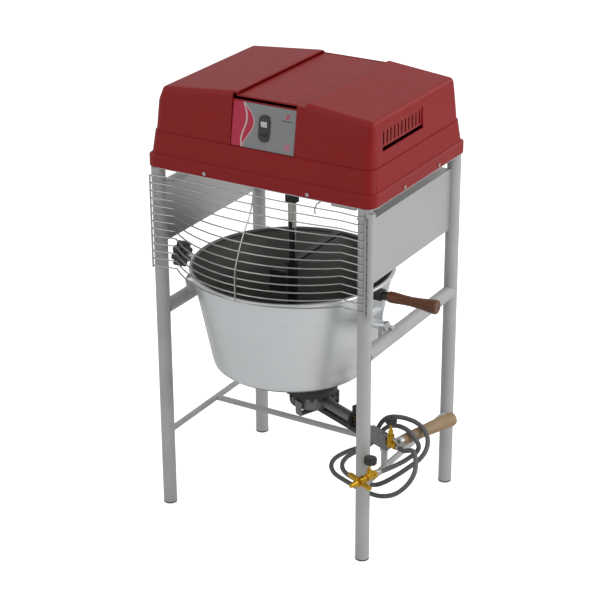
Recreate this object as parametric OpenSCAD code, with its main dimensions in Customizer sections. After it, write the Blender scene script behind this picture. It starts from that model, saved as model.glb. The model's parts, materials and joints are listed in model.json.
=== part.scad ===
// Gas cooking mixer: tube stand, covered gearmotor, tilting pot, paddle, wire guard, swing-out burner.
// Origin on the floor in the middle of the four legs, X to the right, Y to the back, Z up. Millimetres.

/* [Stand] */
// Leg centre distance from the middle, left and right
leg_dx = 313; // [220:1:450]
// Leg centre distance from the middle, front and back
leg_dy = 250.5; // [200:0.5:400]
// Outer diameter of leg and pot rail tubes (38.1 is a stock size)
tube_d = 38.1; // [25.4:0.1:60]
// Wall of the stand tubes
tube_wall = 1.5; // [1:0.1:4]
// Height of the underside of the top tray
tray_z = 1014.5; // [960:0.5:1100]
// Height of the axis of the pot rails
rail_z = 602; // [560:1:620]
// Height of the axis of the low bars
low_z = 222; // [120:1:240]
// Diameter of the low bars
low_d = 17; // [12:0.5:30]
// Foot cap thickness under the tube
foot_t = 4; // [2:0.5:10]
// Radius of the hold-down hole in each foot cap
foot_hole_r = 4.5; // [3:0.1:7]

/* [Head] */
// Half width of the cover rim
cover_hx = 342; // [260:1:420]
// Half depth of the cover rim
cover_hy = 268; // [220:1:380]
// Top of the cover
cover_top = 1250; // [1200:1:1300]
// Cover wall
cover_wall = 4; // [3:0.5:6]

/* [Pot] */
// Pot rim outer radius
pot_r = 280; // [240:1:280]
// Pot rim top height
pot_top = 740; // [730:1:740]
// Pot base height
pot_base = 450; // [420:1:470]
// Pot wall thickness
pot_wall = 3; // [2:0.5:6]
// Pot axis position front to back
pot_y = -84; // [-90:1:-78]
// Pot pin radius
pin_r = 12; // [9:0.5:14]
// Pot pin axis position front to back
pin_y = -126; // [-130:1:-110]
// Pot pin axis height
pin_z = 642; // [640:1:650]

/* [Mixing drive] */
// Drive sleeve radius
sleeve_r = 11.5; // [10:0.5:16]
// Bottom of the drive sleeve
sleeve_z = 846; // [840:1:860]
// Thickness of the agitator tang across the slot
tang_t = 11; // [8:0.5:12]
// Agitator foot stud radius
stud_r = 8; // [6:0.5:12]

/* [Guard] */
// Guard wire diameter
wire_d = 4; // [3:0.5:6]
// Guard hinge tube outer radius
post_r = 8; // [6:0.5:10]

/* [Burner] */
// Burner cup outer radius
cup_r = 62; // [45:1:68]
// Burner ring outer radius
ring_r = 72; // [60:1:80]
// Radius of the burner arm pivot spigot
spigot_r = 6; // [4:0.5:8]
// Hose outer diameter
hose_d = 13; // [9:0.5:16]

/* [Hidden] */
$fn = 48;
tr = tube_d / 2;
lr = low_d / 2;
fit = 0.05;                 // radial running clearance
burner_x = 15;              // burner cup centre
burner_y = -6;
gas_z = 316;                // height of the gas line
arm_x = leg_dx;             // burner arm pivot
arm_y = -130;
arm_a = atan2(arm_y - burner_y, arm_x - burner_x); // direction from the cup out to the pivot
handle_z = 717;             // pot handle axis height
gp_x = 340;                 // guard hinge axis
gp_y = -272;
guard_z = [738, 759.5, 781, 802.5, 824, 845.5, 867, 888.5, 910, 931.5, 953, 974.5, 996];
guard_m = [-370, -370, -370, -370, -367, -357, -347, -336, -322, -304, -289, -281, -275];
hose_pts = [
    [373, -155, 306], [388, -161.2, 307], [405, -169, 316], [425, -181, 325], [443, -200, gas_z],
    [452, -222, 288], [437, -237, 252], [400, -235, 214], [350, -216, 185], [300, -188, 166],
    [248, -159, 154], [195, -134, 149], [148, -111, 148], [121, -83, 152], [115, -52, 158],
    [128, -23, 166], [156, -7, 180], [189, -10, 199], [217, -26, 228], [238, -44, 263],
    [256, -59, 297], [275, -71, 326], [296, -80, 347], [321, -85, 358], [351, -86, 362],
    [384, -86, 358], [412, -92, 346], [432, -108, 328], [438, -129, 308], [430, -151, 288],
    [405, -173, 264], [378, -186, 240], [350, -190, 217], [319, -187, 197], [284, -178, 187],
    [242, -166, 184], [202, -150, 186], [179, -124, 190], [174, -93, 196], [187, -65, 204],
    [212, -51, 219], [238, -53, 246], [262, -66, 279], [292, -84, 316], [326, -104, 341],
    [360, -118, 351], [390, -129, 348], [410, -132, 331], [414, -125, 309], [404, -121, 287],
    [390, -132, 273], [381, -154, 268], [372, -182, 267], [364, -210, 268], [357, -238, 271]];

steel = [0.62, 0.62, 0.61];
dark = [0.16, 0.16, 0.17];
red = [0.48, 0.12, 0.13];
alu = [0.75, 0.77, 0.78];
brassy = [0.78, 0.6, 0.15];

module tube(r, w, l) {
    difference() {
        cylinder(r = r, h = l);
        translate([0, 0, -1]) cylinder(r = r - w, h = l + 2);
    }
}
module plate2(hx, hy, r) {
    square([2 * hx - 2 * r, 2 * hy], center = true);
    square([2 * hx, 2 * hy - 2 * r], center = true);
    for (x = [-1, 1], y = [-1, 1]) translate([x * (hx - r), y * (hy - r)]) circle(r = r);
}
module at_legs() { for (x = [-1, 1], y = [-1, 1]) translate([x * leg_dx, y * leg_dy, 0]) children(); }
module legs_cut(r) { at_legs() cylinder(r = r, h = tray_z); }
module ylie(r, l) { rotate([90, 0, 0]) translate([0, 0, -l / 2]) cylinder(r = r, h = l); }
module xlie(r, l) { rotate([0, 90, 0]) cylinder(r = r, h = l); }

// ---------------------------------------------------------------- stand
module leg(sx, sy) {
    color(steel) translate([sx * leg_dx, sy * leg_dy, foot_t]) tube(tr, tube_wall, tray_z - foot_t);
}
module leg_front_left() { leg(-1, -1); }
module leg_front_right() { leg(1, -1); }
module leg_rear_left() { leg(-1, 1); }
module leg_rear_right() { leg(1, 1); }
module foot_caps() {
    color(dark) at_legs() difference() {
        union() { cylinder(r = tr, h = foot_t); cylinder(r = tr - tube_wall - 0.1, h = foot_t + 12); }
        translate([0, 0, -1]) cylinder(r = foot_hole_r, h = foot_t + 20);
    }
}
module rail(s) {
    color(steel) difference() {
        translate([s * leg_dx, 0, rail_z]) difference() {
            ylie(tr, 2 * leg_dy - 20);
            ylie(tr - tube_wall, 2 * leg_dy);
        }
        legs_cut(tr);
    }
}
module pot_rails() { rail(-1); rail(1); }
module low_bar(s) {
    color(steel) difference() {
        translate([s * leg_dx, 0, low_z]) ylie(lr, 2 * leg_dy - 20);
        legs_cut(tr);
    }
}
module low_bars() { low_bar(-1); low_bar(1); }
module cross_bar() {
    color(steel) difference() {
        translate([-leg_dx + 2, 0, low_z]) xlie(lr, 2 * leg_dx - 4);
        for (s = [-1, 1]) translate([s * leg_dx, 0, low_z]) ylie(lr, 80);
    }
}
module shield(s) {
    color(steel) difference() {
        union() {
            translate([s * leg_dx - 0.75, -leg_dy + 8, 793]) cube([1.5, 2 * leg_dy - 16, 177]);
            translate([s > 0 ? 274 : -leg_dx + 0.75, -leg_dy + 22, 968.5])
                cube([leg_dx - 274.75, 2 * leg_dy - 44, 1.5]);
        }
        legs_cut(tr);
    }
}
module side_shields() { shield(-1); shield(1); }
module burner_post() {
    color(steel) difference() {
        translate([arm_x, arm_y, low_z]) union() {
            cylinder(r = 9, h = 283 - low_z);
            translate([0, 0, 54]) cylinder(r = 12, h = 7);
            cylinder(r = spigot_r, h = 320 - low_z);
        }
        translate([arm_x, 0, low_z]) ylie(lr, 2 * leg_dy);
    }
}

// ---------------------------------------------------------------- head
module side_holes(r) {
    for (s = [-1, 1]) translate([s * 155, -cover_hy - 3, tray_z + 12])
        rotate([-90, 0, 0]) cylinder(r = r, h = 14);
    for (x = [-cover_hx - 3, cover_hx - 11], y = [-97, 97]) translate([x, y, tray_z + 12]) xlie(r, 14);
}
module top_tray() {
    lip = cover_wall + 0.3;
    color(steel) difference() {
        union() {
            translate([0, 0, tray_z]) linear_extrude(2.5) plate2(341, 267, 30);
            translate([0, 0, tray_z + 2.5]) linear_extrude(20) difference() {
                plate2(cover_hx - lip, cover_hy - lip, 30 - lip);
                plate2(cover_hx - lip - 2.5, cover_hy - lip - 2.5, 27.5 - lip);
            }
        }
        translate([0, pot_y, tray_z - 1]) cylinder(r = 22, h = 6);
        side_holes(2.6);
    }
}
module slab(hx, hy, r, z, h) { translate([0, 0, z]) linear_extrude(h) plate2(hx, hy, r); }
module cover_body(o, z0) {
    hull() {
        slab(cover_hx - o, cover_hy - o, 30 - o, z0, 30);
        slab(cover_hx - 4 - o, cover_hy - 6 - o, 30 - o, 1050, 1);
    }
    hull() {
        slab(cover_hx - 5 - o, cover_hy - 8 - o, 30 - o, 1049, 1);
        slab(cover_hx - 11 - o, cover_hy - 17 - o, 30 - o, 1110, 1);
    }
    hull() {
        slab(cover_hx - 13 - o, cover_hy - 20 - o, 30 - o, 1109, 1);
        slab(cover_hx - 17 - o, cover_hy - 30 - o, 30 - o, 1190, 1);
        for (y = [-218, 208]) {
            translate([-294, y, 1215]) sphere(r = 16 - o, $fn = 32);
            translate([308, y, 1217]) sphere(r = 15 - o, $fn = 32);
            for (x = [-85, 131]) translate([x, y, cover_top - 13]) sphere(r = 13 - o, $fn = 32);
        }
    }
}
module panel_at() { translate([-87, -257, 1112]) rotate([-9, 0, 0]) children(); }
channel_z = cover_top - 8;  // floor of the channel along the top
module top_cover() {
    color(red) difference() {
        union() {
            difference() {
                cover_body(0, tray_z + 2.5);
                cover_body(cover_wall, tray_z);
                translate([-75, -300, channel_z]) cube([203, 600, 20]);
            }
            panel_at() translate([-3, 8.5, -3]) cube([197, 7, 125]);
            translate([-78, -226, channel_z - 4]) cube([209, 438, 4]);
        }
        panel_at() translate([0, -20, 0]) cube([191, 32, 140]);
        panel_at() translate([86, 0, 28]) cube([26, 40, 62]);
        for (i = [0:10]) translate([300, -181 + i * 19.4, 1161]) cube([60, 6, 35]);
        difference() {
            translate([cover_hx - 17 - 2.2, -190, 1146]) cube([40, 220, 57]);
            translate([cover_hx - 40, -200, 1100]) rotate([0, -2.6, 0]) cube([21, 240, 140]);
        }
        side_holes(2.6);
        translate([150, 230, 1080]) rotate([-90, 0, 0]) cylinder(r = 8.2, h = 60);
    }
}
module cover_screws() {
    color(steel) {
        for (s = [-1, 1]) translate([s * 155, -cover_hy, tray_z + 12]) rotate([-90, 0, 0]) union() {
            translate([0, 0, -2.5]) cylinder(r = 5, h = 2.5); cylinder(r = 2.5, h = 9); }
        for (y = [-97, 97]) {
            translate([cover_hx, y, tray_z + 12]) union() {
                xlie(5, 2.5);
                translate([-9, 0, 0]) xlie(2.5, 10);
            }
            translate([-cover_hx, y, tray_z + 12]) union() {
                translate([-2.5, 0, 0]) xlie(5, 2.5);
                xlie(2.5, 9);
            }
        }
    }
}
module control_plate() {
    color([0.6, 0.6, 0.62]) panel_at() difference() {
        translate([2, 9.9, 2]) cube([187, 2, 116]);
        translate([85, 0, 27]) cube([28, 40, 64]);
    }
}
module oval(w, h) {
    for (z = [-1, 1]) translate([0, z * (h - w) / 2]) circle(d = w);
    square([w, h - w], center = true);
}
module switch_bezel() {
    color(dark) panel_at() difference() {
        union() {
            translate([99, 9.85, 59]) rotate([90, 0, 0]) linear_extrude(4) oval(32, 70);
            translate([86.5, 9, 28.5]) cube([25, 12, 61]);
        }
        translate([89.7, 0, 39.7]) cube([18.6, 40, 38.6]);
        translate([84, 12, 59]) xlie(1.55, 30);
    }
}
module rocker_switch() {
    color([0.9, 0.9, 0.9]) panel_at() translate([90, 12, 59]) difference() {
        union() {
            translate([0, -8, -19 + 1.3]) cube([18, 14, 35.4]);
            translate([-2.8, 0, 0]) xlie(1.5, 23.6);
        }
        translate([-1, -25, 0]) xlie(20, 20);
    }
}
module gearbox() {
    color(dark) difference() {
        union() {
            translate([-65, pot_y - 55, tray_z + 2.5]) cube([130, 110, 10]);
            translate([-50, pot_y - 50, tray_z + 2.5]) cube([100, 105, 90]);
            translate([0, pot_y, tray_z + 90]) cylinder(r = 42, h = 10);
        }
        translate([0, pot_y, tray_z]) cylinder(r = 10 + fit, h = 60);
    }
}
module upper_bolts() {
    color(steel) for (x = [-58, 58], y = [-45, 45]) translate([x, pot_y + y, tray_z + 12.5])
        cylinder(r = 6.5, h = 5.5, $fn = 6);
}
module motor() {
    color(dark) union() {
        translate([0, 86, 1078]) ylie(52, 130);
        for (a = [0:30:330]) translate([0, 86, 1078]) rotate([0, a, 0])
            translate([50, -62, -1.5]) cube([6, 124, 3]);
        translate([-30, 40, 1122]) cube([60, 60, 34]);
    }
}
module motor_cap() {
    color(dark) translate([0, 166, 1078]) difference() {
        ylie(56, 30);
        translate([0, -6, 0]) ylie(53, 30);
        for (a = [0:45:315]) rotate([0, a, 0]) translate([18, 0, -4]) cube([24, 30, 8]);
    }
}
module cable_gland() {
    color(dark) translate([150, 248, 1080]) rotate([-90, 0, 0]) union() {
        translate([0, 0, -12]) cylinder(r = 8, h = 30);
        translate([0, 0, 10.5]) cylinder(r = 13, h = 8, $fn = 6);
    }
}
module drive_housing() {
    color(dark) translate([0, pot_y, 0]) difference() {
        union() {
            translate([0, 0, tray_z - 6]) cylinder(r = 50, h = 6);
            translate([0, 0, 976]) cylinder(r1 = 20, r2 = 34, h = tray_z - 6 - 976);
            translate([0, 0, 920.5]) cylinder(r = 19, h = 60);
        }
        translate([0, 0, 900]) cylinder(r = 10 + fit, h = 140);
    }
}
module drive_bolts() {
    upper_bolts();
    color(steel) for (a = [45:90:315]) translate([0, pot_y, 0]) rotate(a)
        translate([42, 0, tray_z - 10]) cylinder(r = 5, h = 4, $fn = 6);
}
module guard_stay() {
    color(steel) union() {
        translate([218, -258, tray_z - 10]) cube([70, 14, 10]);
        sweep([
            [186, -240, tray_z - 1.5], [178, -240, 1003], [166, -240, 994],
            [160, -240, 980], [161, -240, 966]],
            2, 8);
    }
}

// ---------------------------------------------------------------- mixing drive
module drive_shaft() { color(steel) translate([0, pot_y, 906]) cylinder(r = 10, h = 160); }
module drive_sleeve() {
    color([0.7, 0.7, 0.66]) translate([0, pot_y, 0]) difference() {
        translate([0, 0, sleeve_z]) cylinder(r = sleeve_r, h = 920 - sleeve_z);
        translate([0, 0, 906]) cylinder(r = 10, h = 20);
        translate([-tang_t / 2 - 0.3, -30, sleeve_z - 1]) cube([tang_t + 0.6, 60, 24]);
    }
}

// ---------------------------------------------------------------- pot
function wall_r(z) = 222 + (z - 475) * 50 / 253 + (pot_r - 280);
module pot_solid() {
    translate([0, pot_y, 0]) rotate_extrude($fn = 96) polygon([[0, pot_base], [wall_r(475) - 30, pot_base],
        [wall_r(475) - 14, pot_base + 4], [wall_r(475) - 4, pot_base + 12], [wall_r(475), 475],
        [wall_r(pot_top), pot_top], [0, pot_top]]);
}
module pot() {
    color(alu) translate([0, pot_y, 0]) rotate_extrude($fn = 96) union() {
        polygon([[0, pot_base], [wall_r(475) - 30, pot_base], [wall_r(475) - 14, pot_base + 4],
            [wall_r(475) - 4, pot_base + 12],
            [wall_r(475), 475], [wall_r(pot_top - 8), pot_top - 8],
            [wall_r(pot_top - 8) - pot_wall, pot_top - 8],
            [wall_r(475) - pot_wall, 475], [wall_r(475) - 7, pot_base + 14], [wall_r(475) - 15, pot_base + 7],
            [wall_r(475) - 30, pot_base + 3], [0, pot_base + 3]]);
        translate([pot_r - 6, pot_top - 6]) circle(r = 6, $fn = 48);
    }
}
module pot_stud() { color(steel) translate([0, pot_y, pot_base + 3]) cylinder(r = stud_r, h = 25); }
module pot_ear(s) {
    color(steel) difference() {
        union() {
            translate([s > 0 ? 232 : -268, pin_y - 24, 625]) cube([36, 84, 35]);
            translate([s > 0 ? 262 : -316, pin_y + 22, 621.3]) cube([54, 14, 8]);
            translate([s > 0 ? 250 : -309, pin_y, pin_z]) xlie(pin_r, 59);
        }
        pot_solid();
    }
}
module pot_bracket_left() { pot_ear(-1); }
module pot_bracket_right() { pot_ear(1); }
module pin_caps() { color(steel) for (x = [309, -314]) translate([x, pin_y, pin_z]) xlie(14, 5); }
module cradle(s) {
    color(steel) difference() {
        translate([s > 0 ? 296 : -308.5, pin_y - 18, rail_z + 4]) cube([12.5, 36, pin_z - rail_z - 4]);
        translate([s * leg_dx, 0, rail_z]) ylie(tr, 2 * leg_dy);
        translate([s > 0 ? 290 : -330, pin_y, pin_z]) xlie(pin_r + fit, 40);
    }
}
module pot_cradles() { cradle(-1); cradle(1); }
module pot_handle_bracket() {
    color(dark) difference() {
        translate([250, -119, handle_z - 12]) cube([40, 28, 24]);
        pot_solid();
    }
    color(steel) translate([290, -105, handle_z]) xlie(12, 15);
}
module pot_handle() {
    color([0.45, 0.22, 0.06]) translate([305, -105, handle_z]) rotate([0, 90, 0]) rotate_extrude()
        polygon([[0, 0], [13, 0], [15, 4], [15.5, 16], [13.5, 45], [13, 68], [15, 98], [18.5, 125],
            [19.5, 138], [18.5, 143], [15, 145], [0, 145]]);
}
module pot_knob() {
    color(dark) translate([-357, -105, 706]) rotate([0, 90, 0]) difference() {
        union() {
            translate([0, 0, -3]) cylinder(r = 25, h = 28);
            for (a = [0:45:315]) rotate(a) translate([28, 0, 0]) cylinder(r = 9.5, h = 22);
        }
        translate([0, 0, 10]) cylinder(r = 6, h = 20);
    }
}
module pot_knob_stud() {
    color(steel) difference() {
        translate([-347, -105, 706]) xlie(6, 100);
        pot_solid();
    }
}

// ---------------------------------------------------------------- agitator
module agitator_bar() {
    color(dark) translate([0, pot_y, 0]) difference() {
        union() {
            translate([-tang_t / 2, -9, 735]) cube([tang_t, 18, 126]);
            translate([-11, -8, 482]) cube([22, 16, 260]);
            translate([0, 0, 462]) cylinder(r = 16, h = 22);
        }
        translate([0, 0, 440]) cylinder(r = stud_r + fit, h = 40);
    }
}
module agitator_rods() {
    color(alu) for (x = [-1, 1]) translate([x * 8.7, pot_y, 742]) cylinder(r = 2.75, h = 100);
}
module agitator_arm() {
    color(dark) translate([0, pot_y, 742]) difference() {
        translate([-11, -20, 0]) cube([22, 261, 6]);
        translate([-tang_t / 2 - 0.01, -9.01, -1]) cube([tang_t + 0.02, 18.02, 10]);
        for (x = [-1, 1]) translate([x * 8.7, 0, -1]) cylinder(r = 2.76, h = 10);
    }
}
module agitator_scraper() {
    color(dark) translate([0, pot_y, 0]) union() {
        translate([-24, -80, 690]) cube([48, 10, 58]);
        translate([4, -72, 700]) cube([4, 63.95, 8]);
    }
}
module agitator_blade() {
    color(alu) translate([0, pot_y, 0]) difference() {
        union() {
            translate([-185, -4, 464]) cube([370, 8, 16]);
            for (s = [-1, 1]) translate([s * 181 - 4, -4, 464]) cube([8, 8, 60]);
        }
        translate([0, 0, 440]) cylinder(r = 16.01, h = 60);
    }
}

// ---------------------------------------------------------------- guard
// plain tube swept along points: r radius, n sides
function unit(v) = v / norm(v);
function tan_of(p, i) = let (e = len(p) - 1) unit(p[min(i + 1, e)] - p[max(i - 1, 0)]);
function side_of(p, i) = i == 0 ? unit(cross(tan_of(p, 0), [0.02, 0.01, 1])) :
    let (q = side_of(p, i - 1), t = tan_of(p, i)) unit(q - (q * t) * t);
module sweep(p, r, n) {
    m = len(p);
    ring = [for (i = [0:m - 1]) let (t = tan_of(p, i), s = side_of(p, i), u = cross(t, s))
        for (k = [0:n - 1]) p[i] + r * (s * cos(360 * k / n) + u * sin(360 * k / n))];
    skin = [for (i = [0:m - 2]) for (k = [0:n - 1])
        [i * n + k, (i + 1) * n + k, (i + 1) * n + (k + 1) % n, i * n + (k + 1) % n]];
    polyhedron(ring, concat(skin, [[for (k = [0:n - 1]) k]], [[for (k = [n - 1:-1:0]) (m - 1) * n + k]]));
}
function bow(z, m) = let (s = -267 - m, rr = (252 * 252 + s * s) / (2 * s), a = asin(252 / rr))
    concat([[-322, -278, z], [-258, -268.6, z]],
        [for (i = [0:14]) let (b = a * (i / 7 - 1)) [rr * sin(b), m + rr - rr * cos(b), z]],
        [[258, -267.6, z], [331.8, -274.6, z]]);
function mid_dir(i) = let (a = max(i - 1, 0), b = min(i + 1, 12))
    unit([guard_m[b] - guard_m[a], guard_z[b] - guard_z[a]]);
module guard_wires() {
    color([0.67, 0.66, 0.64]) {
        for (i = [0:12]) sweep(bow(guard_z[i], guard_m[i]), wire_d / 2, 8);
        sweep([for (i = [0:12]) let (t = mid_dir(i)) [0, guard_m[i] - 4.15 * t[1], guard_z[i] + 4.15 * t[0]]],
            2, 8);
        sweep([[-319, -282.2, 735.5], [-319, -282.2, 998.5]], 2.5, 8);
        sweep([[328.5, -279.4, 735.5], [328.5, -279.4, 998.5]], 3, 8);
    }
}
module guard_tube() { color(steel) translate([gp_x, gp_y, 736]) tube(post_r, 2, 276); }
module hinge_arm(z, h, grow) {
    difference() {
        translate([leg_dx, -leg_dy, z]) union() {
            rotate(atan2(gp_y + leg_dy, gp_x - leg_dx)) translate([10, -6, 0]) cube([24, 12, h]);
            translate([gp_x - leg_dx, gp_y + leg_dy, 0]) cylinder(r = post_r + grow, h = h);
        }
        legs_cut(tr);
    }
}
module guard_hinge_top() {
    color(steel) difference() {
        hinge_arm(1000.5, 11, 4);
        translate([gp_x, gp_y, 990]) cylinder(r = post_r + fit, h = 40);
    }
}
module guard_hinge_bottom() {
    color(steel) union() {
        hinge_arm(722, 13.7, 0);
        translate([gp_x, gp_y, 725]) cylinder(r = post_r - 2 - fit, h = 35);
    }
}

// ---------------------------------------------------------------- burner
// Its parts are drawn around the arm pivot, with +X pointing outwards from the cup and through the pivot.
module at_arm() { translate([arm_x, arm_y, 0]) rotate(arm_a) children(); }
arm_l = norm([arm_x - burner_x, arm_y - burner_y]);
module burner_arm() {
    color(dark) at_arm() difference() {
        translate([-arm_l + 36, -9, 281]) cube([arm_l - 66, 18, 15]);
        translate([-146, 0, gas_z]) xlie(25, 22);
    }
}
module burner_arm_box() {
    color(steel) at_arm() difference() {
        translate([-60, -11, 283.3]) cube([76, 22, 40]);
        translate([0, 0, 200]) cylinder(r = spigot_r + fit, h = 200);
        translate([-61, -9.05, 280]) cube([31.05, 18.1, 16.05]);
    }
}
module burner_cup() {
    color(steel) translate([burner_x, burner_y, 0]) difference() {
        union() {
            translate([0, 0, 296.2]) cylinder(r = cup_r, h = 34);
            for (a = [0:12:348]) rotate(a + 4) translate([cup_r - 2, -1.5, 298]) cube([4.5, 3, 29]);
        }
        translate([0, 0, 300]) cylinder(r = cup_r - 3, h = 40);
        rotate(arm_a) translate([30, 0, gas_z]) xlie(14.9, 40);
    }
}
module burner_ring() {
    color(dark) translate([burner_x, burner_y, 0]) union() {
        difference() {
            union() {
                translate([0, 0, 334]) cylinder(r = ring_r, h = 16);
                for (a = [0:20:340]) rotate(a) translate([cup_r + 4, -4, 324]) cube([6, 8, 12]);
            }
            translate([0, 0, 332]) cylinder(r = 30, h = 30);
            rotate(arm_a) translate([40, 0, gas_z]) xlie(15.3, 50);
        }
        difference() {
            translate([0, 0, 330]) cylinder(r = cup_r - 3.2, h = 6);
            translate([0, 0, 320]) cylinder(r = 30, h = 20);
        }
        translate([0, 0, 340]) difference() {
            cylinder(r = 32, h = 12);
            for (a = [0:30:330]) rotate(a) translate([22, 0, -1]) cylinder(r = 2, h = 20);
        }
    }
}
module burner_brackets() {
    clip_loop();
    color(steel) at_arm() for (s = [-1, 1]) translate([-arm_l, s * (cup_r + 4.5), 0]) union() {
        translate([12, -1.5, 285]) cube([26, 3, 38]);
        translate([14, s > 0 ? 4.5 - cup_r : -1.5, 281]) cube([22, cup_r - 3, 4]);
    }
}
module clip_loop() {
    color(steel) at_arm() translate([-arm_l - cup_r - 18.6, 0, 300]) rotate([90, 0, 0])
        rotate_extrude() translate([14, 0]) circle(r = 1.75, $fn = 24);
}
module burner_mixer_tube() {
    color([0.45, 0.45, 0.46]) at_arm() translate([cup_r - arm_l - 2.5, 0, gas_z]) difference() {
        union() {
            xlie(14.8, arm_l - cup_r - 129.5);
            translate([arm_l - cup_r - 134.5, 0, 0]) xlie(19.5, 5);
        }
        translate([-1, 0, 0]) xlie(12, arm_l);
    }
}
module air_shutter() {
    color(dark) at_arm() translate([-131.5, 0, gas_z]) union() {
        difference() {
            xlie(23.5, 4);
            translate([-1, 0, 0]) xlie(4.5 + fit, 10);
            for (a = [30:60:330]) rotate([a, 0, 0]) translate([-1, 13, 0]) xlie(4.5, 10);
        }
        translate([0, -8, 22]) cube([4, 16, 21]);
    }
}
module gas_valve() {
    color(brassy) at_arm() {
        translate([-142, 0, gas_z]) xlie(4.5, 74);
        translate([-70, 0, gas_z]) xlie(8, 9.95);
    }
    color(brassy) at_arm() union() {
        translate([16, 0, 306]) xlie(8, 26);
        translate([26, 0, 298]) cylinder(r = 10, h = 34);
        translate([26, 0, 332]) cylinder(r = 7, h = 14, $fn = 6);
        translate([26, 0, 346]) cylinder(r = 3.5, h = 36);
        translate([42, 0, 306]) xlie(10.5, 8, $fn = 6);
    }
}
module valve_knob() {
    color(dark) at_arm() translate([26, 0, 368]) difference() {
        union() {
            cylinder(r = 14, h = 17);
            for (a = [0:45:315]) rotate(a) translate([12.5, 0, 2]) cylinder(r = 4, h = 13);
        }
        translate([0, 0, -1]) cylinder(r = 3.5 + fit, h = 20);
    }
}
hh = [374, -146, 328];      // burner handle foot
module handle_at() { translate(hh) rotate([0, 90, 71.5]) children(); }
module handle_nut() {
    color(alu) union() {
        at_arm() translate([36.2, -4, 323]) cube([24, 8, 4]);
        handle_at() difference() {
            translate([0, 0, -12]) cylinder(r = 13, h = 11.95);
            translate([0, 0, -13]) cylinder(r = 6, h = 6);
        }
    }
}
module burner_handle() {
    color([0.65, 0.55, 0.41]) handle_at() rotate_extrude()
        polygon([[0, 0], [12.5, 0], [14, 5], [15, 30], [16, 70], [18, 120], [19.5, 160],
            [20, 182], [18.5, 190], [14, 194], [0, 194]]);
}

// ---------------------------------------------------------------- gas line
nh = len(hose_pts);
function tan_at(i) = tan_of(hose_pts, i);
module hose() { color([0.37, 0.37, 0.37]) sweep(hose_pts, hose_d / 2, 12); }
module along(p, d) { translate(p) rotate([0, acos(d[2] / norm(d)), atan2(d[1], d[0])]) children(); }
module inlet() {
    color(alu) at_arm() {
        translate([50.05, 0, 306]) xlie(6.5, 6);
        translate([56, 0, 306]) xlie(7.5, 8);
    }
}
he = hose_pts[nh - 1];
ht = tan_at(nh - 1);
bd = [-0.04, -0.985, 0.17];
module hose_fittings() {
    inlet();
    color(steel) {
        along(he + 0.05 * ht, ht) cylinder(r = 8, h = 10);
        along(he + 10 * ht, ht) cylinder(r = 9.5, h = 10);
    }
}
bv = he + 22 * ht;
module bottle_valve() {
    color(brassy) union() {
        along(bv, bd) cylinder(r = 12.5, h = 12, $fn = 6);
        along(bv + 12 * unit(bd), bd) cylinder(r = 10, h = 32);
        along(bv + 28 * unit(bd), [0, 0.17, 0.985]) cylinder(r = 7, h = 20);
        along(bv + 28 * unit(bd), [0, 0.17, 0.985]) cylinder(r = 3, h = 50);
        along(bv + 44 * unit(bd), bd) cylinder(r = 7, h = 62);
        along(bv + 95 * unit(bd), bd) cylinder(r1 = 9, r2 = 5, h = 26);
    }
}
module bottle_knob() {
    color(dark) along(bv + 28 * unit(bd) + 36 * unit([0, 0.17, 0.985]), [0, 0.17, 0.985]) difference() {
        union() {
            cylinder(r = 15, h = 20);
            for (a = [0:36:324]) rotate(a) translate([14.5, 0, 2]) cylinder(r = 3, h = 16);
        }
        translate([0, 0, -1]) cylinder(r = 3 + fit, h = 30);
    }
}
module wing_nut() {
    color(brassy) along(bv + 62 * unit(bd), bd) rotate(70) difference() {
        union() {
            cylinder(r = 13, h = 24);
            translate([0, 0, 12]) rotate([90, 0, 0]) translate([0, 0, -2.5])
                linear_extrude(5) plate2(38, 9, 8.9);
        }
        translate([0, 0, -1]) cylinder(r = 7 + fit, h = 60);
    }
}

leg_front_left();
leg_front_right();
leg_rear_left();
leg_rear_right();
foot_caps();
pot_rails();
low_bars();
cross_bar();
side_shields();
burner_post();
top_tray();
top_cover();
cover_screws();
control_plate();
switch_bezel();
rocker_switch();
gearbox();
motor();
motor_cap();
cable_gland();
drive_housing();
drive_bolts();
guard_stay();
guard_hinge_top();
guard_hinge_bottom();
pot_cradles();
drive_shaft();
drive_sleeve();
pot();
pot_stud();
pot_bracket_left();
pot_bracket_right();
pin_caps();
pot_handle_bracket();
pot_handle();
pot_knob();
pot_knob_stud();
agitator_bar();
agitator_rods();
agitator_arm();
agitator_scraper();
agitator_blade();
guard_wires();
guard_tube();
burner_arm();
burner_arm_box();
burner_cup();
burner_ring();
burner_brackets();
burner_mixer_tube();
air_shutter();
gas_valve();
valve_knob();
handle_nut();
burner_handle();
hose();
hose_fittings();
bottle_valve();
bottle_knob();
wing_nut();
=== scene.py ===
# %% [markdown]
# # Gas cooking mixer
# A tube stand carries a covered gearmotor. An open pot hangs on side pins under it, a paddle turns in the pot,
# a wire guard shuts the front, and a gas burner swings in below on an arm. The measured solids are loaded first
# and never moved. The print on the plate, the rocker's two tones and the pot's colours are placed from their boxes.

# %% Load the frame
import json
import math

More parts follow.
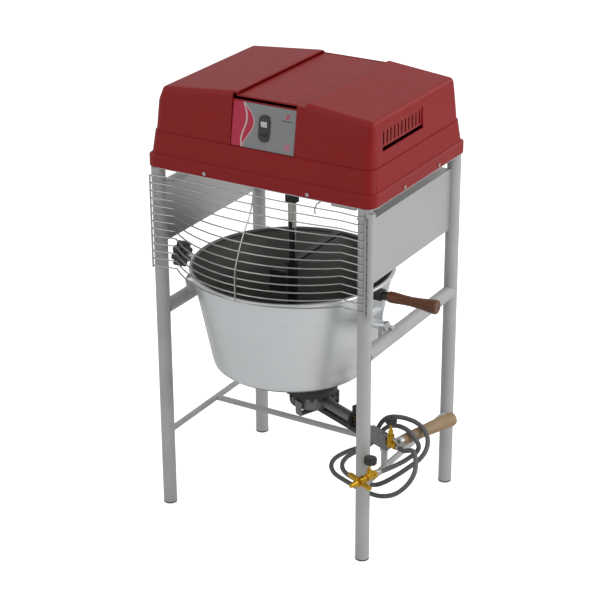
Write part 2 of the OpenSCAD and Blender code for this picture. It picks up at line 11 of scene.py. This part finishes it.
import bpy
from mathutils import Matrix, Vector


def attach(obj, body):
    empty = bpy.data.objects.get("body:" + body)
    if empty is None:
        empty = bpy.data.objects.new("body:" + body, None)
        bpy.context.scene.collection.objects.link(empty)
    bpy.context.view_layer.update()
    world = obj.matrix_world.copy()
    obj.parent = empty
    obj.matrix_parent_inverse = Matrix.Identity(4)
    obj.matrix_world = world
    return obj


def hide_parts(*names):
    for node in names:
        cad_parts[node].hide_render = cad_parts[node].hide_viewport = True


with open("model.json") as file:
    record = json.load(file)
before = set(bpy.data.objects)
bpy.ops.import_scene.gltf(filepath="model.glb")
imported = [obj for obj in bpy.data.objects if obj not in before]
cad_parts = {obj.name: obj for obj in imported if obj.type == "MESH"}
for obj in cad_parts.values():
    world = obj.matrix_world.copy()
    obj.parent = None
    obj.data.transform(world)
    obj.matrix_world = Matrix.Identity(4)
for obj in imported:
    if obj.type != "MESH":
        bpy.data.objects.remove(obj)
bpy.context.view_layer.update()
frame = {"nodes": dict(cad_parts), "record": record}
nodes = frame["nodes"]


def box_of(obj):
    """The low and high corner of a piece."""
    corners = [v.co for v in obj.data.vertices]
    return (Vector(tuple(min(c[i] for c in corners) for i in range(3))),
            Vector(tuple(max(c[i] for c in corners) for i in range(3))))


# %% [markdown]
# ## Camera
# A long lens from the front right and a little above shows the stand, the pot and the hose in one view. A long
# lens keeps the legs nearly parallel, as a catalogue picture does.

# %% Camera
CAMERA_PLACE = Vector((2.3977, -4.0864, 2.6811))
CAMERA_TURN = math.radians(29.96)
CAMERA_DROP = math.radians(23.90)
LENS_MM = 112.24
LENS_SHIFT = (-0.0361, 0.0101)

bpy.ops.object.camera_add(location=CAMERA_PLACE)
camera = bpy.context.object
camera.name = "camera"
back = Vector((math.sin(CAMERA_TURN) * math.cos(CAMERA_DROP), -math.cos(CAMERA_TURN) * math.cos(CAMERA_DROP),
               math.sin(CAMERA_DROP)))
camera.rotation_mode = "QUATERNION"
camera.rotation_quaternion = (-back).to_track_quat("-Z", "Y")
camera.data.lens = LENS_MM
camera.data.sensor_width = 36
camera.data.shift_x, camera.data.shift_y = LENS_SHIFT
bpy.context.scene.camera = camera
print("camera at", [round(v, 2) for v in CAMERA_PLACE])

# %% [markdown]
# ## Gas hose
# The hose is a smooth rubber tube about 13 mm thick that hangs in two loose loops. It starts as a curve with a round
# section and is made a mesh. Its line runs smoothly through the same points that the measured hose follows, and
# the length of that line is the length of the hose.

# %% Hose
HOSE_THICK = 0.013
HOSE_ROUTE_MM = [
    (373, -155, 306), (388, -161.2, 307), (405, -169, 316), (425, -181, 325), (443, -200, 316),
    (452, -222, 288), (437, -237, 252), (400, -235, 214), (350, -216, 185), (300, -188, 166),
    (248, -159, 154), (195, -134, 149), (148, -111, 148), (121, -83, 152), (115, -52, 158),
    (128, -23, 166), (156, -7, 180), (189, -10, 199), (217, -26, 228), (238, -44, 263),
    (256, -59, 297), (275, -71, 326), (296, -80, 347), (321, -85, 358), (351, -86, 362),
    (384, -86, 358), (412, -92, 346), (432, -108, 328), (438, -129, 308), (430, -151, 288),
    (405, -173, 264), (378, -186, 240), (350, -190, 217), (319, -187, 197), (284, -178, 187),
    (242, -166, 184), (202, -150, 186), (179, -124, 190), (174, -93, 196), (187, -65, 204),
    (212, -51, 219), (238, -53, 246), (262, -66, 279), (292, -84, 316), (326, -104, 341),
    (360, -118, 351), (390, -129, 348), (410, -132, 331), (414, -125, 309), (404, -121, 287),
    (390, -132, 273), (381, -154, 268), (372, -182, 267), (364, -210, 268), (357, -238, 271)]


def smooth_line(points, steps):
    """Points along a smooth line that passes through every given point."""
    line = []
    last = len(points) - 1
    for i in range(last):
        a, b, c, d = (points[min(max(k, 0), last)] for k in (i - 1, i, i + 1, i + 2))
        for step in range(steps):
            t = step / steps
            line.append(0.5 * (2 * b + (c - a) * t + (2 * a - 5 * b + 4 * c - d) * t ** 2
                               + (3 * b - a - 3 * c + d) * t ** 3))
    return line + [points[last]]


def tube_curve(name, points, radius, sides=3):
    """A round tube along a line of points, capped at both ends."""
    data = bpy.data.curves.new(name, "CURVE")
    data.dimensions = "3D"
    data.bevel_depth = radius
    data.bevel_resolution = sides
    data.use_fill_caps = True
    spline = data.splines.new("POLY")
    spline.points.add(len(points) - 1)
    for place, point in zip(spline.points, points):
        place.co = (*point, 1)
    spline.use_smooth = True
    tube = bpy.data.objects.new(name, data)
    bpy.context.scene.collection.objects.link(tube)
    bpy.ops.object.select_all(action="DESELECT")
    tube.select_set(True)
    bpy.context.view_layer.objects.active = tube
    bpy.ops.object.convert(target="MESH")
    return bpy.context.object


STEPS_PER_POINT = 6
hose_line = smooth_line([Vector(p) / 1000 for p in HOSE_ROUTE_MM], STEPS_PER_POINT)
hose_length = sum((b - a).length for a, b in zip(hose_line, hose_line[1:]))
hose = tube_curve("gas_hose", hose_line, HOSE_THICK / 2)
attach(hose, "burner")
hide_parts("hose")
print("hose length", round(hose_length, 3))

# %% [markdown]
# ## Floor and light
# A pale floor and large soft lights show the shape without hard shadows.

# %% Floor and light
FLOOR_SIZE = 30
FLOOR_HEIGHT = -0.0005
bpy.ops.mesh.primitive_plane_add(size=FLOOR_SIZE, location=(0, 0, FLOOR_HEIGHT))
floor = bpy.context.object
floor.name = "floor"

SKY_AT_HORIZON = 0.42
SKY_OVERHEAD = 0.86
world = bpy.data.worlds.new("studio")
bpy.context.scene.world = world
world.use_nodes = True
sky = world.node_tree.nodes
links = world.node_tree.links
height = sky.new("ShaderNodeSeparateXYZ")
links.new(sky.new("ShaderNodeTexCoord").outputs["Generated"], height.inputs[0])
glow = sky.new("ShaderNodeMapRange")
glow.inputs["To Min"].default_value = SKY_AT_HORIZON
glow.inputs["To Max"].default_value = SKY_OVERHEAD
links.new(height.outputs["Z"], glow.inputs["Value"])
sky["Background"].inputs["Color"].default_value = (1, 1, 1, 1)
links.new(glow.outputs["Result"], sky["Background"].inputs["Strength"])


def soft_light(name, place, aim, size, power):
    """A square area light that points at aim."""
    bpy.ops.object.light_add(type="AREA", location=place)
    lamp = bpy.context.object
    lamp.name = name
    lamp.data.size = size
    lamp.data.energy = power
    lamp.rotation_mode = "QUATERNION"
    lamp.rotation_quaternion = (Vector(aim) - Vector(place)).to_track_quat("-Z", "Y")
    return lamp


MACHINE_MIDDLE = (0, 0, 0.7)
soft_light("side_light", (3.4, 0.2, 2.0), MACHINE_MIDDLE, 2.2, 42)
soft_light("front_light", (-1.6, -3.4, 2.4), MACHINE_MIDDLE, 2.4, 16)
soft_light("rear_light", (2.2, 3.2, 2.8), MACHINE_MIDDLE, 2.2, 20)
bpy.context.scene.view_settings.view_transform = "Standard"
print("lights ready")

# %% [markdown]
# ## Materials
# A finish is a small network of nodes. The class below wraps one socket, so that shader maths reads like plain
# arithmetic, and the bench builds every other node from its settings and inputs in one place.

# %% Shader maths


class Wire:
    """One output socket. Arithmetic on it adds Math nodes."""

    def __init__(self, bench, socket):
        self.bench = bench
        self.socket = socket

    def maths(self, operation, *values):
        return self.bench.node("ShaderNodeMath", {"operation": operation}, dict(enumerate(values)))

    def __add__(self, other):
        return self.maths("ADD", self, other)

    def __sub__(self, other):
        return self.maths("SUBTRACT", self, other)

    def __mul__(self, other):
        return self.maths("MULTIPLY", self, other)

    def __truediv__(self, other):
        return self.maths("DIVIDE", self, other)

    def __rsub__(self, other):
        return self.maths("SUBTRACT", other, self)

    def above(self, edge):
        return self.maths("GREATER_THAN", self, edge)

    def below(self, edge):
        return self.maths("LESS_THAN", self, edge)

    def near(self, middle, half):
        """1 where the value is within half of middle."""
        gap = self - middle
        return gap.maths("ABSOLUTE", gap).below(half)

    def sine(self):
        return self.maths("SINE", self)

    def power(self, exponent):
        return self.maths("POWER", self, exponent)


class Finish:
    """A material being built, with its one surface shader."""

    def __init__(self, name, roughness=0.5, metallic=0.0, **constants):
        self.material = bpy.data.materials.new(name)
        self.material.use_nodes = True
        self.tree = self.material.node_tree
        self.shader = self.tree.nodes["Principled BSDF"]
        self.set("Roughness", roughness)
        self.set("Metallic", metallic)
        for key, value in constants.items():
            self.set(key.replace("_", " "), value)

    def node(self, kind, settings, inputs, output=0):
        made = self.tree.nodes.new(kind)
        for key, value in settings.items():
            if key == "stops":
                for place, colour in value[:-2]:
                    made.color_ramp.elements.new(place)
                for element, (place, colour) in zip(made.color_ramp.elements, value):
                    element.position = place
                    element.color = (*colour, 1)
            else:
                setattr(made, key, value)
        for key, value in inputs.items():
            self.plug(made.inputs[key], value)
        return Wire(self, made.outputs[output])

    def plug(self, socket, value):
        if isinstance(value, Wire):
            self.tree.links.new(value.socket, socket)
        elif isinstance(value, tuple) and len(value) == 3 and socket.type == "RGBA":
            socket.default_value = (*value, 1)
        else:
            socket.default_value = value

    def set(self, name, value):
        self.plug(self.shader.inputs[name], value)

    def place(self, stretch=(1, 1, 1)):
        """Object coordinates, stretched to draw a pattern out along an axis."""
        spot = self.node("ShaderNodeTexCoord", {}, {}, "Object")
        return self.node("ShaderNodeMapping", {}, {"Vector": spot, "Scale": stretch})

    def spot(self):
        """The x, y and z of each point, in metres in the frame."""
        place = self.node("ShaderNodeTexCoord", {}, {}, "Object")
        cut = self.node("ShaderNodeSeparateXYZ", {}, {"Vector": place}).socket.node
        return tuple(Wire(self, cut.outputs[axis]) for axis in "XYZ")

    def noise(self, scale, detail=3, stretch=(1, 1, 1), roughness=0.5):
        return self.node("ShaderNodeTexNoise", {}, {"Vector": self.place(stretch), "Scale": scale, "Detail": detail,
                                                    "Roughness": roughness})

    def ramp(self, value, *stops):
        return self.node("ShaderNodeValToRGB", {"stops": stops}, {"Fac": value})

    def mix(self, factor, low, high):
        made = self.tree.nodes.new("ShaderNodeMix")
        made.data_type = "RGBA"
        self.plug(made.inputs[0], factor)
        self.plug(made.inputs[6], low)
        self.plug(made.inputs[7], high)
        return Wire(self, made.outputs[2])

    def bump(self, height, strength, distance):
        self.set("Normal", self.node("ShaderNodeBump", {}, {"Height": height, "Strength": strength,
                                                            "Distance": distance}))


def srgb(*levels):
    """Linear colour from eight-bit display levels."""
    return tuple((v / 255 / 12.92) if v / 255 <= 0.04045 else ((v / 255 + 0.055) / 1.055) ** 2.4 for v in levels)


print("shader bench ready")

# %% [markdown]
# ## Painted tubes, sheet and cast parts
# Paint is never quite even, so a slow noise shifts its colour a little and a fine one gives it orange peel.

# %% Metal and paint finishes


def painted(name, colour, worn, roughness, grain=600, bump=0.08):
    """Sprayed paint with a slow change of tone and a fine orange peel."""
    made = Finish(name, roughness=roughness)
    patch = made.noise(9, 4)
    made.set("Base Color", made.mix(made.ramp(patch, (0.35, (0, 0, 0)), (0.7, (1, 1, 1))), colour, worn))
    made.set("Roughness", patch * 0.16 + (roughness - 0.08))
    made.bump(made.noise(grain, 2), bump, 0.0006)
    return made.material


def brushed(name, colour, dark, roughness, stretch, metallic=1.0, scale=220):
    """Bare metal with fine lines drawn along one axis."""
    made = Finish(name, roughness=roughness, metallic=metallic)
    lines = made.noise(scale, 4, stretch)
    cloud = made.noise(6, 3)
    made.set("Base Color", made.mix(lines * 0.6 + cloud * 0.4, dark, colour))
    made.set("Roughness", lines * 0.14 + cloud * 0.12 + (roughness - 0.12))
    made.bump(lines, 0.05, 0.0004)
    return made.material


def spun_pot(name, box, wall):
    """Spun aluminium: bright outside; inside rougher and darker, the darker colour being painted shade where the
    cover keeps the light off. Each point is compared with the cone of the wall.
    """
    made = Finish(name, roughness=0.34, metallic=1.0)
    x, y, z = made.spot()
    across = x - (box[0].x + box[1].x) / 2
    along = y - (box[0].y + box[1].y) / 2
    radius = (across * across + along * along).power(0.5)
    foot_radius, foot_height = 0.222, 0.475
    top_radius, top_height = 0.272, 0.728
    slope = (top_radius - foot_radius) / (top_height - foot_height)
    wall_radius = (z - foot_height) * slope + (foot_radius - wall / 2)
    outside = radius.above(wall_radius)
    lines = made.noise(110, 3, (0.02, 0.02, 1))
    cloud = made.noise(5, 4)
    mottle = lines * 0.4 + cloud * 0.6
    bright = made.mix(mottle, srgb(214, 217, 219), srgb(238, 241, 243))
    # The inside of the pot gets a much darker copy of the metal colour: painted shade, where the cover keeps the
    # light off the inside.
    inside_painted_shade = made.mix(mottle, srgb(122, 121, 119), srgb(150, 149, 147))
    made.set("Base Color", made.mix(outside, inside_painted_shade, bright))
    made.set("Roughness", lines * 0.12 + cloud * 0.2 + (outside * -0.12 + 0.34))
    made.bump(lines, 0.05, 0.0004)
    return made.material


def moulded(name, colour, worn, roughness, grain=900, bump=0.12, shine=0.5):
    """Moulded plastic with a fine spark texture."""
    made = Finish(name, roughness=roughness)
    made.set("Specular IOR Level", shine)
    made.set("Base Color", made.mix(made.noise(14, 3), colour, worn))
    made.set("Roughness", made.noise(40, 3) * 0.15 + (roughness - 0.07))
    made.bump(made.noise(grain, 2), bump, 0.0004)
    return made.material


def cast(name, colour, light, roughness):
    """Sand-cast iron: lumpy, matte and darker in its hollows."""
    made = Finish(name, roughness=roughness, metallic=0.55)
    lumps = made.noise(160, 5)
    made.set("Base Color", made.mix(lumps, colour, light))
    made.set("Roughness", lumps * 0.2 + (roughness - 0.1))
    made.bump(lumps, 0.35, 0.0012)
    return made.material


def timber(name, pale, dark, stretch, roughness, coat):
    """Turned wood with the grain along the handle."""
    made = Finish(name, roughness=roughness, Coat_Weight=coat)
    grain = made.noise(70, 6, stretch, 0.65)
    pores = made.noise(400, 3, stretch)
    colour = made.ramp(grain, (0.3, dark), (0.62, pale))
    made.set("Base Color", made.mix(pores.above(0.62) * 0.35, colour, dark))
    made.set("Roughness", grain * 0.2 + (roughness - 0.1))
    made.bump(grain * 0.6 + pores * 0.4, 0.15, 0.0005)
    return made.material


# %% [markdown]
# ## Printed panel and rocker
# The plate carries a print: a crimson field on the left with a pale double curve, a small red mark with a dark
# line at the top right, and a pink square below it. Distances run from the lower left corner of the plate, in
# millimetres, worked out from the plate's own box. The rocker is pale above its pivot and black below it.

# %% Print


def plate_spot(made, box):
    """Distance right and up from the lower left corner of a box, in millimetres."""
    x, _, z = made.spot()
    return (x - box[0].x) * 1000, (z - box[0].z) * 1000


def printed_plate(name, box):
    made = Finish(name, roughness=0.4)
    x, z = plate_spot(made, box)
    tall = (box[1].z - box[0].z) * 1000
    wide = (box[1].x - box[0].x) * 1000
    rise = z / tall

    edge = 36 - (rise * 2 * math.pi + 0.6).sine() * 7
    outer = edge + (rise * math.pi).sine() * 24 - 2
    crimson = srgb(178, 30, 62)
    pale = srgb(196, 168, 170)
    ground = made.mix(made.noise(30, 3), srgb(128, 130, 130), srgb(136, 136, 138))
    print_colour = made.mix(x.below(outer + 3), ground, pale)
    print_colour = made.mix(x.below(outer), print_colour, crimson)
    print_colour = made.mix(x.near(edge, 2.6), print_colour, pale)
    flame = x.near(wide - 24, 5) * z.near(tall - 20, 6) * (made.noise(160, 2)).above(0.42)
    print_colour = made.mix(flame, print_colour, srgb(176, 60, 84))
    print_colour = made.mix(x.near(wide - 26, 15) * z.near(tall - 31, 1.3), print_colour, srgb(62, 66, 66))
    weave = (made.noise(240, 1)).above(0.45)
    print_colour = made.mix(x.near(wide - 20, 8) * z.near(19, 8) * (weave * 0.6 + 0.3), print_colour,
                            srgb(190, 96, 120))
    made.set("Base Color", print_colour)
    made.set("Roughness", made.noise(20) * 0.12 + 0.36)
    made.bump(made.noise(700, 2), 0.04, 0.0003)
    return made.material


def two_tone_rocker(name, box):
    made = Finish(name, roughness=0.35)
    _, z = plate_spot(made, box)
    upper = z.above((box[1].z - box[0].z) * 1000 * 0.6)
    made.set("Base Color", made.mix(upper, srgb(34, 36, 35), srgb(196, 196, 196)))
    made.set("Roughness", made.noise(60) * 0.15 + 0.3)
    made.bump(made.noise(900, 2), 0.08, 0.0003)
    return made.material


# %% Finish of every material slot
POT_WALL = 0.003
looks = {
    "frame_paint": painted("silver_paint", srgb(178, 179, 178), srgb(169, 170, 169), 0.42),
    "sheet": brushed("sheet_steel", srgb(208, 208, 207), srgb(184, 184, 183), 0.42, (0.05, 0.05, 1), 0.8),
    "black_plastic": moulded("black_plastic", srgb(44, 44, 45), srgb(58, 58, 58), 0.5),
    "black_iron": cast("cast_iron", srgb(52, 52, 54), srgb(78, 78, 80), 0.62),
    "black_steel": painted("black_paint", srgb(24, 24, 25), srgb(36, 36, 36), 0.45),
    "red_cover": moulded("red_moulding", srgb(142, 12, 16), srgb(134, 9, 12), 0.42, 1400, 0.05, shine=0.3),
    "panel_grey": printed_plate("panel_print", box_of(nodes["control_plate"])),
    "rocker_white": two_tone_rocker("rocker_plastic", box_of(nodes["rocker_switch"])),
    "bright_steel": brushed("bright_steel", srgb(205, 205, 202), srgb(165, 165, 160), 0.3, (1, 1, 0.05)),
    "pot_alu": spun_pot("spun_aluminium", box_of(nodes["pot"]), POT_WALL),
    "wire_steel": brushed("plated_wire", srgb(195, 193, 190), srgb(150, 148, 145), 0.3, (0.1, 1, 1)),
    "dark_wood": timber("varnished_brown_wood", srgb(112, 58, 22), srgb(70, 34, 10), (0.08, 1, 1), 0.42, 0.15),
    "pale_wood": timber("pale_wood", srgb(156, 132, 98), srgb(136, 112, 80), (1, 0.08, 1), 0.5, 0.1),
    "brass": brushed("machined_brass", srgb(226, 184, 62), srgb(192, 146, 36), 0.3, (1, 0.1, 1)),
    "hose_rubber": moulded("hose_rubber", srgb(88, 88, 88), srgb(98, 98, 98), 0.55, 500, 0.15),
}
# The burner parts under the pot get a darker grey steel than the sheet parts.
dark_burner_steel = brushed("dark_burner_steel", srgb(150, 150, 150), srgb(112, 112, 112), 0.5, (0.3, 0.3, 1), 0.8)
DARK_BURNER_PARTS = ("burner_arm_box", "burner_cup", "burner_mixer_tube", "burner_brackets")
for entry in frame["record"]["subparts"]:
    body_mesh = nodes[entry["node"]].data
    body_mesh.materials.clear()
    body_mesh.materials.append(dark_burner_steel if entry["node"] in DARK_BURNER_PARTS else looks[entry["material_slot"]])
hose.data.materials.append(looks["hose_rubber"])
floor_finish = Finish("studio_floor", roughness=0.9)
seen = floor_finish.node("ShaderNodeLightPath", {}, {}, "Is Camera Ray")
pale = floor_finish.mix(floor_finish.noise(2), (0.9, 0.9, 0.9), (0.92, 0.92, 0.92))
floor_finish.set("Base Color", floor_finish.mix(seen, (0.72, 0.72, 0.72), pale))
floor_finish.set("Emission Color", floor_finish.mix(seen, (0.0, 0.0, 0.0), (1.0, 1.0, 1.0)))
floor_finish.set("Emission Strength", 0.6)
floor.data.materials.append(floor_finish.material)
print("finishes", len(looks))
